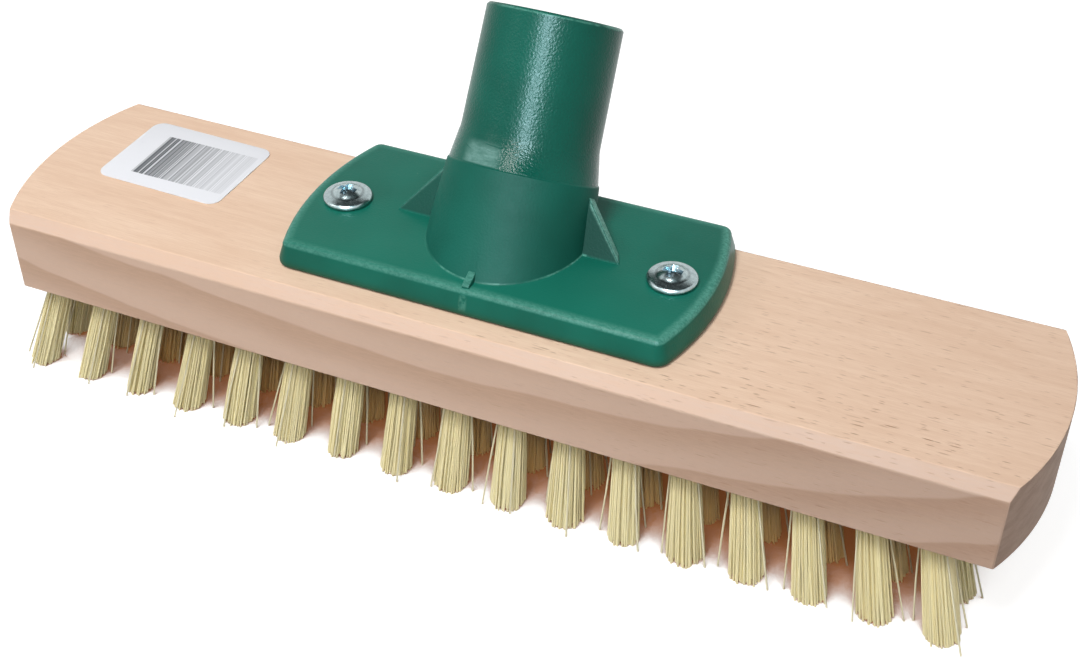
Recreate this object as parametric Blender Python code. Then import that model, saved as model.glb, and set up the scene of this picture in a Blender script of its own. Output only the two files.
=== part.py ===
# Deck brush head: a beech block with fanned tufts and a moulded socket for a broom handle, screwed on top.
# Metres, +Z up. The origin is on the floor at the middle tuft, which stands a little left of the block's
# middle. +X runs along the block, and the handle leans back towards +Y.

import math

import bmesh
import bpy
from mathutils import Matrix, Vector

# Wooden block
BLOCK_LENGTH = 0.250
BLOCK_WIDTH = 0.058
BLOCK_THICKNESS = 0.021
BLOCK_END_RISE = 0.007  # how far the rounded ends bulge
BLOCK_CHAMFER = 0.0025

# Tufts: columns across the width, each tuft folded into a blind hole
TUFT_COLUMNS = 17
TUFT_ROWS = 5
TUFT_TRIM = 0.0242  # bristle length below the block
LEFT_MARGIN = 0.0129  # block's left end to the first column
RIGHT_MARGIN = 0.0203  # and from the last column to its right end
ROW_MARGIN = 0.008  # block's side to the outer row
COLUMN_LEAN = math.radians(15)  # of the last column
ROW_LEAN = math.radians(14.5)  # of the outer row
TUFT_RADIUS = 0.003
TUFT_HOLE_DEPTH = 0.0095
HOLE_CLEARANCE = 0.0003
STRAND_RADIUS = 0.0008
STRANDS_ROUND_TUFT = 4  # besides the one in the middle
ROOT_RING = 0.0018  # radius of the ring of strands at the block
TIP_RING = 0.0034  # and at the floor
STRAND_GRIP = 0.0008  # how far a strand runs into its tuft's folded end
BACKING_WIDTH = 0.004  # strip of backing that ties a column's tufts
BACKING_DEPTH = 0.0016
BACKING_OVERRUN = 0.001  # past the outer tufts' middles

# Handle socket, one moulding
SOCKET_SHIFT_X = -0.0022  # from the block's middle to the tube's axis, on the block's top
SOCKET_SHIFT_Y = 0.0012
SEAT_GAP = 0.0003  # between pieces that rest on each other
PLATE_LENGTH = 0.1013
PLATE_WIDTH = 0.0489
PLATE_SHIFT_Y = 0.0018  # from that axis to the plate's middle
PLATE_THICKNESS = 0.0061
PLATE_END_RISE = 0.0046
PLATE_DRAFT = 0.001  # how far its sides lean in
PLATE_CORNER_RADIUS = 0.0035
PLATE_EDGE_FILLET = 0.0015
PLATE_WALL = 0.0025  # round the tray moulded into its underside
PLATE_DECK = 0.0026  # over that tray
UNDER_RIB_THICKNESS = 0.0016

HANDLE_DIAMETER = 0.024
HANDLE_LEAN = math.radians(31)
HANDLE_CLEARANCE = 0.0002
BORE_TAPER = 0.0004  # narrower at the bottom by this much in radius
BORE_LEAD_IN = 0.0006
TUBE_WALL = 0.0033  # at the rim
TUBE_DRAFT = 0.0004  # wider at the collar by this much in radius
TUBE_LENGTH = 0.0561  # along its axis, from the block's top to the rim
TUBE_RIM_CHAMFER = 0.0004
COLLAR_BOTTOM = 0.021  # along the axis, where the foot starts to narrow
COLLAR_TOP = 0.0281
FOOT_EXTRA_RADIUS = 0.0019  # of the foot over the rim, at the collar
FOOT_DRAFT = 0.0013  # more at the plate
GUSSET_THICKNESS = 0.0025
GUSSET_REACH = 0.0268  # sideways from the socket's middle, at the plate
GUSSET_HEIGHT = 0.0188  # along the tube's axis
GUSSET_FORWARD = 0.0015  # in front of the tube's axis
FRONT_RIB_THICKNESS = 0.0016
FRONT_RIB_REACH = 0.0026  # in front of the tube's foot
FRONT_RIB_HEIGHT = 0.003  # above the plate, at the foot
FRONT_RIB_TOE = 0.0008  # and at its front end

# Washer-head screws
SCREW_FROM_PLATE_END = 0.0106
SCREW_FLANGE_RADIUS = 0.00575
SCREW_FLANGE_THICKNESS = 0.0012
SCREW_FLANGE_EDGE = 0.0003
SCREW_DOME_RADIUS = 0.00355
SCREW_DOME_HEIGHT = 0.0017
SCREW_SHANK_RADIUS = 0.002
SCREW_POINT_LENGTH = 0.0035
SCREW_CLEARANCE = 0.0003
RECESS_SPAN = 0.0042  # of the cross-shaped drive
RECESS_SLOT = 0.0013
RECESS_DEPTH = 0.0018
BOSS_RADIUS = 0.005
WOOD_UNDER_PILOT = 0.0015  # left between a pilot hole and the tuft holes

# Sticker
LABEL_LENGTH = 0.033
LABEL_WIDTH = 0.025
LABEL_THICKNESS = 0.00015
LABEL_CORNER_RADIUS = 0.003
LABEL_FROM_END = 0.0332  # block's end to the sticker's middle
LABEL_SHIFT_Y = 0.0072
LABEL_TURN = math.radians(-1.2)
LABEL_GAP = 0.0001

# Facets
END_SEGMENTS = 12
CORNER_SEGMENTS = 4
FILLET_SEGMENTS = 3
TUBE_SEGMENTS = 40
SCREW_SEGMENTS = 24
EDGE_SEGMENTS = 3
DOME_SEGMENTS = 4
PLUG_SIDES = 8
STRAND_SIDES = 3

SMOOTH_ANGLE = math.radians(30)
WELD = 1e-7
CUT_MARGIN = 0.001  # how far a cutter runs past the face that it opens
OVERLAP = 0.0008  # how far shapes that become one moulding run into each other

BLOCK_UNDERSIDE = TUFT_TRIM
BLOCK_TOP = BLOCK_UNDERSIDE + BLOCK_THICKNESS
PLATE_BOTTOM = BLOCK_TOP + SEAT_GAP
PLATE_TOP = PLATE_BOTTOM + PLATE_THICKNESS
BLOCK_CENTRE = Vector(((RIGHT_MARGIN - LEFT_MARGIN) / 2, 0, BLOCK_TOP))
SOCKET_CENTRE = BLOCK_CENTRE + Vector((SOCKET_SHIFT_X, SOCKET_SHIFT_Y, 0))
PLATE_CENTRE = SOCKET_CENTRE + Vector((0, PLATE_SHIFT_Y, 0))
LAST_COLUMN_X = (BLOCK_LENGTH - LEFT_MARGIN - RIGHT_MARGIN) / 2
OUTER_ROW_Y = BLOCK_WIDTH / 2 - ROW_MARGIN
BORE_RADIUS = HANDLE_DIAMETER / 2 + HANDLE_CLEARANCE
TUBE_RADIUS = BORE_RADIUS + TUBE_WALL
COLLAR_RADIUS = TUBE_RADIUS + FOOT_EXTRA_RADIUS
FOOT_RADIUS = COLLAR_RADIUS + FOOT_DRAFT
# Stands in the tube's own direction, with Z along its axis and Y square to it, up and back
TUBE_FRAME = Matrix.Translation(SOCKET_CENTRE) @ Matrix.Rotation(-HANDLE_LEAN, 4, "X")


def clear_scene():
    for thing in list(bpy.data.objects):
        bpy.data.objects.remove(thing, do_unlink=True)


def make_material(name, colour, roughness, metallic=0.0):
    material = bpy.data.materials.new(name)
    material.use_nodes = True
    shader = material.node_tree.nodes["Principled BSDF"]
    shader.inputs["Base Color"].default_value = (*colour, 1.0)
    shader.inputs["Roughness"].default_value = roughness
    shader.inputs["Metallic"].default_value = metallic
    material.diffuse_color = (*colour, 1.0)
    return material


def add_object(name, bm, material=None):
    """Turns a closed bmesh into an object with its faces pointing out."""
    bmesh.ops.remove_doubles(bm, verts=bm.verts, dist=WELD)
    bmesh.ops.recalc_face_normals(bm, faces=bm.faces)
    mesh = bpy.data.meshes.new(name)
    bm.to_mesh(mesh)
    bm.free()
    thing = bpy.data.objects.new(name, mesh)
    bpy.context.collection.objects.link(thing)
    if material:
        mesh.materials.append(material)
    return thing


def helper(name, bm):
    """A shape that only adds to or cuts another one."""
    thing = add_object(name, bm)
    thing.hide_render = True
    thing.display_type = "WIRE"
    return thing


def combine(thing, other, operation):
    modifier = thing.modifiers.new(operation.title() + "_" + other.name, "BOOLEAN")
    modifier.operation = operation
    modifier.solver = "EXACT"
    modifier.object = other


def shade_round(thing):
    thing.data.shade_smooth()
    thing.data.set_sharp_from_angle(angle=SMOOTH_ANGLE)


def bridge_rings(bm, rings):
    """Skins a stack of closed rings with as many points each, and caps both ends."""
    loops = [[bm.verts.new(point) for point in ring] for ring in rings]
    for low, high in zip(loops, loops[1:]):
        for i in range(len(low)):
            j = (i + 1) % len(low)
            bm.faces.new((low[i], low[j], high[j], high[i]))
    bm.faces.new(reversed(loops[0]))
    bm.faces.new(loops[-1])


def arc_ended_outline(length, width, end_rise, corner_radius=0.0, inset=0.0):
    """Outline with straight long sides, bulging ends and rounded corners, drawn in by inset all round."""
    half_width = width / 2
    end_radius = (half_width**2 + end_rise**2) / (2 * end_rise)
    end_centre = length / 2 - end_radius
    corner_y = half_width - corner_radius
    corner_x = end_centre + math.sqrt((end_radius - corner_radius) ** 2 - corner_y**2)
    meeting_angle = math.atan2(corner_y, corner_x - end_centre)
    quarter = []
    if corner_radius > inset:
        for i in range(CORNER_SEGMENTS):
            angle = math.pi / 2 + (meeting_angle - math.pi / 2) * i / CORNER_SEGMENTS
            reach = corner_radius - inset
            quarter.append((corner_x + reach * math.cos(angle), corner_y + reach * math.sin(angle)))
    half_end = END_SEGMENTS // 2
    for i in range(half_end):
        angle = meeting_angle * (1 - i / half_end)
        reach = end_radius - inset
        quarter.append((end_centre + reach * math.cos(angle), reach * math.sin(angle)))
    nose = [(length / 2 - inset, 0.0)]
    right_end = quarter + nose + [(x, -y) for x, y in reversed(quarter)]
    return right_end + [(-x, -y) for x, y in right_end]


def rings_at(outline_and_height, centre=Vector((0, 0, 0))):
    return [[(centre.x + x, centre.y + y, z) for x, y in outline] for outline, z in outline_and_height]


def box(bm, low, high):
    corners = [(low[0], low[1]), (high[0], low[1]), (high[0], high[1]), (low[0], high[1])]
    bridge_rings(bm, rings_at([(corners, low[2]), (corners, high[2])]))


def revolve(bm, profile, segments, closed=False):
    """Spins (radius, height) points about Z; an open profile starts and ends on the axis."""
    points = [bm.verts.new((radius, 0, height)) for radius, height in profile]
    pairs = list(zip(points, points[1:] + points[:1])) if closed else list(zip(points, points[1:]))
    edges = [bm.edges.new(pair) for pair in pairs]
    bmesh.ops.spin(
        bm, geom=points + edges, cent=(0, 0, 0), axis=(0, 0, 1), angle=math.tau, steps=segments, use_merge=True
    )
    bmesh.ops.remove_doubles(bm, verts=bm.verts, dist=WELD)


def cylinder(bm, radius, bottom, top, centre, segments=SCREW_SEGMENTS):
    ring = [
        (radius * math.cos(math.tau * i / segments), radius * math.sin(math.tau * i / segments))
        for i in range(segments)
    ]
    bridge_rings(bm, rings_at([(ring, bottom), (ring, top)], centre))


def tuft_places():
    """Yields each tuft's column, root on the block's underside and lean, as sideways run for each metre down."""
    column_pitch = 2 * LAST_COLUMN_X / (TUFT_COLUMNS - 1)
    row_pitch = 2 * OUTER_ROW_Y / (TUFT_ROWS - 1)
    for column in range(TUFT_COLUMNS):
        x = -LAST_COLUMN_X + column * column_pitch
        for row in range(TUFT_ROWS):
            y = -OUTER_ROW_Y + row * row_pitch
            lean = Vector((math.tan(COLUMN_LEAN * x / LAST_COLUMN_X), math.tan(ROW_LEAN * y / OUTER_ROW_Y)))
            yield column, Vector((x, y)), lean


def leaning_prism(bm, root, run, radius, sides, bottom, top):
    """A prism with level ends whose middle passes through root on the block's underside."""
    rings = []
    for height in (bottom, top):
        centre = root + run * (BLOCK_UNDERSIDE - height)
        angles = [math.tau * (i + 0.5) / sides for i in range(sides)]
        rings.append([(centre.x + radius * math.cos(a), centre.y + radius * math.sin(a), height) for a in angles])
    bridge_rings(bm, rings)


def make_block(material):
    bm = bmesh.new()
    outline = arc_ended_outline(BLOCK_LENGTH, BLOCK_WIDTH, BLOCK_END_RISE)
    bridge_rings(bm, rings_at([(outline, BLOCK_UNDERSIDE), (outline, BLOCK_TOP)], BLOCK_CENTRE))
    long_top_edges = [
        edge
        for edge in bm.edges
        if all(abs(v.co.z - BLOCK_TOP) < WELD for v in edge.verts)
        and all(abs(abs(v.co.y) - BLOCK_WIDTH / 2) < WELD for v in edge.verts)
    ]
    bmesh.ops.bevel(bm, geom=long_top_edges, offset=BLOCK_CHAMFER, segments=1, affect="EDGES")
    block = add_object("beech_block", bm, material)

    slots = bmesh.new()
    slot_half_width = BACKING_WIDTH / 2 + HOLE_CLEARANCE
    slot_end = OUTER_ROW_Y + BACKING_OVERRUN + HOLE_CLEARANCE
    slot_roof = BLOCK_UNDERSIDE + BACKING_DEPTH + HOLE_CLEARANCE
    for x in sorted({root.x for _, root, _ in tuft_places()}):
        low = (x - slot_half_width, -slot_end, BLOCK_UNDERSIDE - CUT_MARGIN)
        box(slots, low, (x + slot_half_width, slot_end, slot_roof))
    combine(block, helper("backing_slots", slots), "DIFFERENCE")

    holes = bmesh.new()
    hole_roof = BLOCK_UNDERSIDE + TUFT_HOLE_DEPTH + HOLE_CLEARANCE
    for _, root, lean in tuft_places():
        leaning_prism(
            holes, root, lean, TUFT_RADIUS + HOLE_CLEARANCE, PLUG_SIDES, BLOCK_UNDERSIDE - CUT_MARGIN, hole_roof
        )
    combine(block, helper("tuft_holes", holes), "DIFFERENCE")

    pilots = bmesh.new()
    for centre in screw_centres():
        cylinder(
            pilots,
            SCREW_SHANK_RADIUS + SCREW_CLEARANCE,
            screw_tip() - SCREW_CLEARANCE,
            BLOCK_TOP + CUT_MARGIN,
            centre,
            SCREW_SEGMENTS // 2,
        )
    combine(block, helper("pilot_holes", pilots), "DIFFERENCE")
    return block


def make_tuft_column(column, material):
    """One column of tufts: folded ends, the backing that ties them, and the strands."""
    places = [(root, lean) for number, root, lean in tuft_places() if number == column]
    x = places[0][0].x

    backing = bmesh.new()
    strip_end = OUTER_ROW_Y + BACKING_OVERRUN
    low = (x - BACKING_WIDTH / 2, -strip_end, BLOCK_UNDERSIDE - CUT_MARGIN)
    box(backing, low, (x + BACKING_WIDTH / 2, strip_end, BLOCK_UNDERSIDE + BACKING_DEPTH))
    name = f"tufts_{column + 1:02d}"
    tufts = add_object(name, backing, material)

    plugs = bmesh.new()
    for root, lean in places:
        leaning_prism(
            plugs,
            root,
            lean,
            TUFT_RADIUS,
            PLUG_SIDES,
            BLOCK_UNDERSIDE - CUT_MARGIN,
            BLOCK_UNDERSIDE + TUFT_HOLE_DEPTH,
        )
    combine(tufts, helper(name + "_folded_ends", plugs), "UNION")

    below = bmesh.new()
    reach = BLOCK_WIDTH / 2
    box(below, (x - reach, -reach, BLOCK_UNDERSIDE - 2 * CUT_MARGIN), (x + reach, reach, BLOCK_UNDERSIDE))
    combine(tufts, helper(name + "_flush_cut", below), "DIFFERENCE")

    strands = bmesh.new()
    spread_per_metre = (TIP_RING - ROOT_RING) / TUFT_TRIM
    for root, lean in places:
        directions = [Vector((0, 0))]
        for i in range(STRANDS_ROUND_TUFT):
            angle = math.tau * (i + 0.5) / STRANDS_ROUND_TUFT
            directions.append(Vector((math.cos(angle), math.sin(angle))))
        for direction in directions:
            leaning_prism(
                strands,
                root + direction * ROOT_RING,
                lean + direction * spread_per_metre,
                STRAND_RADIUS,
                STRAND_SIDES,
                0,
                BLOCK_UNDERSIDE + STRAND_GRIP,
            )
    combine(tufts, helper(name + "_strands", strands), "UNION")
    return tufts


def screw_centres():
    for side in (-1, 1):
        yield SOCKET_CENTRE + Vector((side * (PLATE_LENGTH / 2 - SCREW_FROM_PLATE_END), 0, 0))


def screw_tip():
    return BLOCK_UNDERSIDE + TUFT_HOLE_DEPTH + HOLE_CLEARANCE + WOOD_UNDER_PILOT + SCREW_CLEARANCE


def plate_outline(inset):
    return arc_ended_outline(PLATE_LENGTH, PLATE_WIDTH, PLATE_END_RISE, PLATE_CORNER_RADIUS, inset)


def make_plate():
    """The socket's plate, rounded along its top edge, before its underside is cut level."""
    bm = bmesh.new()
    slope = PLATE_DRAFT / (PLATE_THICKNESS - PLATE_EDGE_FILLET)
    layers = [(plate_outline(-CUT_MARGIN * slope), PLATE_BOTTOM - CUT_MARGIN)]
    for i in range(FILLET_SEGMENTS + 1):
        angle = math.pi / 2 * i / FILLET_SEGMENTS
        inset = PLATE_DRAFT + PLATE_EDGE_FILLET * (1 - math.cos(angle))
        height = PLATE_TOP - PLATE_EDGE_FILLET * (1 - math.sin(angle))
        layers.append((plate_outline(inset), height))
    bridge_rings(bm, rings_at(layers, PLATE_CENTRE))
    return bm


def plate_tray():
    bm = bmesh.new()
    outline = plate_outline(PLATE_WALL)
    heights = (PLATE_BOTTOM - 2 * CUT_MARGIN, PLATE_TOP - PLATE_DECK)
    bridge_rings(bm, rings_at([(outline, height) for height in heights], PLATE_CENTRE))
    return bm


def along_tube(height, forward):
    """Distance along the tube's axis at which the line that far in front of it reaches a height."""
    return (height - SOCKET_CENTRE.z - forward * math.sin(HANDLE_LEAN)) / math.cos(HANDLE_LEAN)


def tube_start():
    """Low enough on the axis for every part of the foot to reach the plate's underside."""
    return -FOOT_RADIUS * math.tan(HANDLE_LEAN) - CUT_MARGIN


def way_for_tube():
    """Clears the plate and its ribs from inside the foot's wall."""
    bm = bmesh.new()
    radius = BORE_RADIUS + TUBE_WALL / 2
    end = along_tube(PLATE_TOP, 0) + radius * math.tan(HANDLE_LEAN) + CUT_MARGIN
    revolve(bm, [(0, tube_start()), (radius, tube_start()), (radius, end), (0, end)], TUBE_SEGMENTS)
    bmesh.ops.transform(bm, matrix=TUBE_FRAME, verts=bm.verts)
    return bm


def tube():
    """The tube's wall, from below the plate to the rim, turned as one ring."""
    bm = bmesh.new()
    profile = [
        (FOOT_RADIUS, tube_start()),
        (FOOT_RADIUS, along_tube(PLATE_TOP, 0)),
        (COLLAR_RADIUS, COLLAR_BOTTOM),
        (TUBE_RADIUS + TUBE_DRAFT, COLLAR_TOP),
        (TUBE_RADIUS, TUBE_LENGTH - TUBE_RIM_CHAMFER),
        (TUBE_RADIUS - TUBE_RIM_CHAMFER, TUBE_LENGTH),
        (BORE_RADIUS + BORE_LEAD_IN, TUBE_LENGTH),
        (BORE_RADIUS, TUBE_LENGTH - BORE_LEAD_IN),
        (BORE_RADIUS - BORE_TAPER, tube_start()),
    ]
    revolve(bm, profile, TUBE_SEGMENTS, closed=True)
    bmesh.ops.transform(bm, matrix=TUBE_FRAME, verts=bm.verts)
    return bm


def side_gussets():
    """Thin triangles that brace the foot sideways, in the plane that the mould parts on."""
    bm = bmesh.new()
    foot_height = along_tube(PLATE_TOP, GUSSET_FORWARD)
    fall = (GUSSET_HEIGHT - foot_height) / (GUSSET_REACH - COLLAR_RADIUS)
    sunk = PLATE_DECK / 2
    inner = COLLAR_RADIUS - TUBE_WALL / 2
    corners = [
        (GUSSET_REACH + sunk / fall, foot_height - sunk),
        (inner, GUSSET_HEIGHT + (COLLAR_RADIUS - inner) * fall),
        (inner, foot_height - sunk),
    ]
    for side in (-1, 1):
        faces = []
        for offset in (-GUSSET_THICKNESS / 2, GUSSET_THICKNESS / 2):
            faces.append([(side * x, offset - GUSSET_FORWARD, z) for x, z in corners])
        bridge_rings(bm, faces)
    bmesh.ops.transform(bm, matrix=TUBE_FRAME, verts=bm.verts)
    return bm


def front_rib():
    """A short rib from inside the foot's wall, at its front, down onto the plate."""
    bm = bmesh.new()
    foot_front = SOCKET_CENTRE.y + (PLATE_TOP - BLOCK_TOP) * math.tan(HANDLE_LEAN)
    foot_front -= FOOT_RADIUS / math.cos(HANDLE_LEAN)
    toe = foot_front - FRONT_RIB_REACH
    head = foot_front + FRONT_RIB_HEIGHT * math.tan(HANDLE_LEAN)
    slope = (FRONT_RIB_HEIGHT - FRONT_RIB_TOE) / (head - toe)
    corners = [
        (toe, PLATE_TOP - OVERLAP),
        (toe, PLATE_TOP + FRONT_RIB_TOE),
        (head + OVERLAP, PLATE_TOP + FRONT_RIB_HEIGHT + OVERLAP * slope),
        (head + OVERLAP, PLATE_TOP - OVERLAP),
    ]
    rings = []
    for side in (-1, 1):
        x = SOCKET_CENTRE.x + side * FRONT_RIB_THICKNESS / 2
        rings.append([(x, y, z) for y, z in corners])
    bridge_rings(bm, rings)
    return bm


def screw_bosses():
    bm = bmesh.new()
    for centre in screw_centres():
        cylinder(bm, BOSS_RADIUS, PLATE_BOTTOM - CUT_MARGIN, PLATE_TOP - PLATE_DECK + OVERLAP, centre)
    return bm


def lengthwise_rib():
    """Stiffens the tray from end wall to end wall."""
    bm = bmesh.new()
    half = PLATE_LENGTH / 2 - PLATE_WALL + OVERLAP
    low = (SOCKET_CENTRE.x - half, SOCKET_CENTRE.y - UNDER_RIB_THICKNESS / 2, PLATE_BOTTOM - CUT_MARGIN)
    high = (SOCKET_CENTRE.x + half, SOCKET_CENTRE.y + UNDER_RIB_THICKNESS / 2, PLATE_TOP - PLATE_DECK + OVERLAP)
    box(bm, low, high)
    return bm


def crosswise_ribs():
    """Stiffen the tray across each screw boss."""
    bm = bmesh.new()
    half = PLATE_WIDTH / 2 - PLATE_WALL + OVERLAP
    for centre in screw_centres():
        low = (centre.x - UNDER_RIB_THICKNESS / 2, PLATE_CENTRE.y - half, PLATE_BOTTOM - CUT_MARGIN)
        high = (centre.x + UNDER_RIB_THICKNESS / 2, PLATE_CENTRE.y + half, PLATE_TOP - PLATE_DECK + OVERLAP)
        box(bm, low, high)
    return bm


def screw_holes():
    bm = bmesh.new()
    for centre in screw_centres():
        radius = SCREW_SHANK_RADIUS + SCREW_CLEARANCE
        cylinder(bm, radius, PLATE_BOTTOM - 2 * CUT_MARGIN, PLATE_TOP + CUT_MARGIN, centre)
    return bm


def below_plate():
    bm = bmesh.new()
    reach = PLATE_LENGTH
    low = (SOCKET_CENTRE.x - reach, SOCKET_CENTRE.y - reach, PLATE_BOTTOM - FOOT_RADIUS * 2)
    high = (SOCKET_CENTRE.x + reach, SOCKET_CENTRE.y + reach, PLATE_BOTTOM)
    box(bm, low, high)
    return bm


def make_socket(material):
    socket = add_object("handle_socket", make_plate(), material)
    steps = [
        ("plate_tray", plate_tray(), "DIFFERENCE"),
        ("screw_bosses", screw_bosses(), "UNION"),
        ("lengthwise_rib", lengthwise_rib(), "UNION"),
        ("crosswise_ribs", crosswise_ribs(), "UNION"),
        ("way_for_tube", way_for_tube(), "DIFFERENCE"),
        ("tube", tube(), "UNION"),
        ("side_gussets", side_gussets(), "UNION"),
        ("front_rib", front_rib(), "UNION"),
        ("screw_holes", screw_holes(), "DIFFERENCE"),
        ("below_plate", below_plate(), "DIFFERENCE"),
    ]
    for name, bm, operation in steps:
        combine(socket, helper(name, bm), operation)
    shade_round(socket)
    return socket


def screw_profile():
    """Head and shank from the tip up, with a rounded flange edge and a domed middle."""
    seat = PLATE_TOP + SEAT_GAP
    shank_end = screw_tip() + SCREW_POINT_LENGTH
    flange_top = seat + SCREW_FLANGE_THICKNESS
    profile = [(0, screw_tip()), (SCREW_SHANK_RADIUS, shank_end), (SCREW_SHANK_RADIUS, seat)]
    profile.append((SCREW_FLANGE_RADIUS, seat))
    for i in range(EDGE_SEGMENTS + 1):
        angle = math.pi / 2 * i / EDGE_SEGMENTS
        radius = SCREW_FLANGE_RADIUS - SCREW_FLANGE_EDGE * (1 - math.cos(angle))
        profile.append((radius, flange_top - SCREW_FLANGE_EDGE * (1 - math.sin(angle))))
    dome_radius = (SCREW_DOME_RADIUS**2 + SCREW_DOME_HEIGHT**2) / (2 * SCREW_DOME_HEIGHT)
    half_angle = math.asin(SCREW_DOME_RADIUS / dome_radius)
    dome_centre = flange_top + SCREW_DOME_HEIGHT - dome_radius
    for i in range(DOME_SEGMENTS):
        angle = half_angle * (1 - i / DOME_SEGMENTS)
        profile.append((dome_radius * math.sin(angle), dome_centre + dome_radius * math.cos(angle)))
    profile.append((0, flange_top + SCREW_DOME_HEIGHT))
    return profile


def drive_recess(centre):
    """Two crossed slots, turned to stand as a cross along the block."""
    bm = bmesh.new()
    top = PLATE_TOP + SEAT_GAP + SCREW_FLANGE_THICKNESS + SCREW_DOME_HEIGHT
    arm = RECESS_SPAN / 2
    half_slot = RECESS_SLOT / 2
    outline = []
    for quarter in range(4):
        turn = Matrix.Rotation(math.pi / 2 * quarter, 2)
        for point in ((arm, -half_slot), (arm, half_slot), (half_slot, half_slot)):
            outline.append(tuple(turn @ Vector(point)))
    bridge_rings(bm, rings_at([(outline, top - RECESS_DEPTH), (outline, top + CUT_MARGIN)], centre))
    return bm


def make_screw(name, centre, material):
    bm = bmesh.new()
    revolve(bm, screw_profile(), SCREW_SEGMENTS)
    bmesh.ops.translate(bm, vec=(centre.x, centre.y, 0), verts=bm.verts)
    screw = add_object(name, bm, material)
    combine(screw, helper(name + "_recess", drive_recess(centre)), "DIFFERENCE")
    shade_round(screw)
    return screw


def make_label(material):
    bm = bmesh.new()
    outline = []
    inner_x = LABEL_LENGTH / 2 - LABEL_CORNER_RADIUS
    inner_y = LABEL_WIDTH / 2 - LABEL_CORNER_RADIUS
    for quarter, (sx, sy) in enumerate(((1, 1), (-1, 1), (-1, -1), (1, -1))):
        for i in range(CORNER_SEGMENTS + 1):
            angle = math.pi / 2 * (quarter + i / CORNER_SEGMENTS)
            x = sx * inner_x + LABEL_CORNER_RADIUS * math.cos(angle)
            y = sy * inner_y + LABEL_CORNER_RADIUS * math.sin(angle)
            outline.append((x, y))
    bottom = BLOCK_TOP + LABEL_GAP
    bridge_rings(bm, rings_at([(outline, bottom), (outline, bottom + LABEL_THICKNESS)]))
    place = Matrix.Translation((BLOCK_CENTRE.x - BLOCK_LENGTH / 2 + LABEL_FROM_END, LABEL_SHIFT_Y, 0))
    bmesh.ops.transform(bm, matrix=place @ Matrix.Rotation(LABEL_TURN, 4, "Z"), verts=bm.verts)
    return add_object("label", bm, material)


def build():
    clear_scene()
    beech = make_material("beech", (0.76, 0.55, 0.38), 0.65)
    green_plastic = make_material("green_plastic", (0.02, 0.16, 0.11), 0.35)
    zinc_steel = make_material("zinc_steel", (0.72, 0.73, 0.75), 0.25, 1.0)
    label_paper = make_material("label_paper", (0.85, 0.85, 0.84), 0.5)
    fibre = make_material("fibre", (0.72, 0.64, 0.38), 0.55)

    brush_head = bpy.data.objects.new("brush_head", None)
    bpy.context.collection.objects.link(brush_head)
    pieces = [make_block(beech), make_socket(green_plastic), make_label(label_paper)]
    for name, centre in zip(("screw_left", "screw_right"), screw_centres()):
        pieces.append(make_screw(name, centre, zinc_steel))
    for column in range(TUFT_COLUMNS):
        pieces.append(make_tuft_column(column, fibre))
    for piece in pieces:
        piece.parent = brush_head


build()
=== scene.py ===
# Deck brush head: a beech block with fanned bristle tufts, a green handle socket on two screws, and a sticker.
import math

import bmesh
import bpy
import numpy as np
from mathutils import Matrix, Quaternion, Vector


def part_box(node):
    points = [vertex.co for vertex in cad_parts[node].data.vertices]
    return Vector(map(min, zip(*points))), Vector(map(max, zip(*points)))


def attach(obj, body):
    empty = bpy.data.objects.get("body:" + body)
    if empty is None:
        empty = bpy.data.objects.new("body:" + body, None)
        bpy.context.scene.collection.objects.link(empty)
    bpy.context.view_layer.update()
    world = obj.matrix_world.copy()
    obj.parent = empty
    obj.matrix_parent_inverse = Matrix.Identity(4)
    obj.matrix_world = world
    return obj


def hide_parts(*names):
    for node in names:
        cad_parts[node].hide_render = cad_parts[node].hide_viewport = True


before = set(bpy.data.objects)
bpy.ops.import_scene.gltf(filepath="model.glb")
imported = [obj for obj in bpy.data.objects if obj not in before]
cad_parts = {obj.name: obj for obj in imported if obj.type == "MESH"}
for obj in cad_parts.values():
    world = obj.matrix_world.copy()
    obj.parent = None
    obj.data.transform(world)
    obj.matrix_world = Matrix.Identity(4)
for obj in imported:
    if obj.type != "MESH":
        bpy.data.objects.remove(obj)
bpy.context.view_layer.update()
print("frame loaded:", len(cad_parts), "nodes")


# editing helpers
def deselectAll():
    if bpy.context.mode != "OBJECT":
        bpy.ops.object.mode_set(mode="OBJECT")
    bpy.ops.object.select_all(action="DESELECT")


def makeActive(piece):
    deselectAll()
    piece.select_set(True)
    bpy.context.view_layer.objects.active = piece


def newest(name):
    # names the primitive that was just added and puts its place into its mesh
    piece = bpy.context.active_object
    piece.name = name
    piece.data.name = name
    settle(piece)
    return piece


def settle(piece):
    makeActive(piece)
    bpy.ops.object.transform_apply(location=True, rotation=True, scale=True)


def openEdit(piece, kind="FACE"):
    makeActive(piece)
    bpy.ops.object.mode_set(mode="EDIT")
    bpy.ops.mesh.select_mode(type=kind)
    bpy.ops.mesh.select_all(action="DESELECT")


def editAll(piece, kind="FACE"):
    openEdit(piece, kind)
    bpy.ops.mesh.select_all(action="SELECT")


def pick(piece, parts, test):
    # selects the vertices, edges or faces that pass a test, and counts them
    shape = bmesh.from_edit_mesh(piece.data)
    for vert in shape.verts:
        vert.select_set(False)
    chosen = [part for part in getattr(shape, parts) if test(part)]
    for part in chosen:
        part.select_set(True)
    bmesh.update_edit_mesh(piece.data)
    return len(chosen)


def bisectAt(piece, place, normal):
    # cuts off what lies beyond the plane and closes the cut
    editAll(piece)
    bpy.ops.mesh.bisect(plane_co=place, plane_no=normal, use_fill=True, clear_outer=True)
    deselectAll()


def moveVerts(piece, test, move):
    openEdit(piece, "VERT")
    pick(piece, "verts", test)
    bpy.ops.transform.translate(value=move)
    deselectAll()


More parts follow.
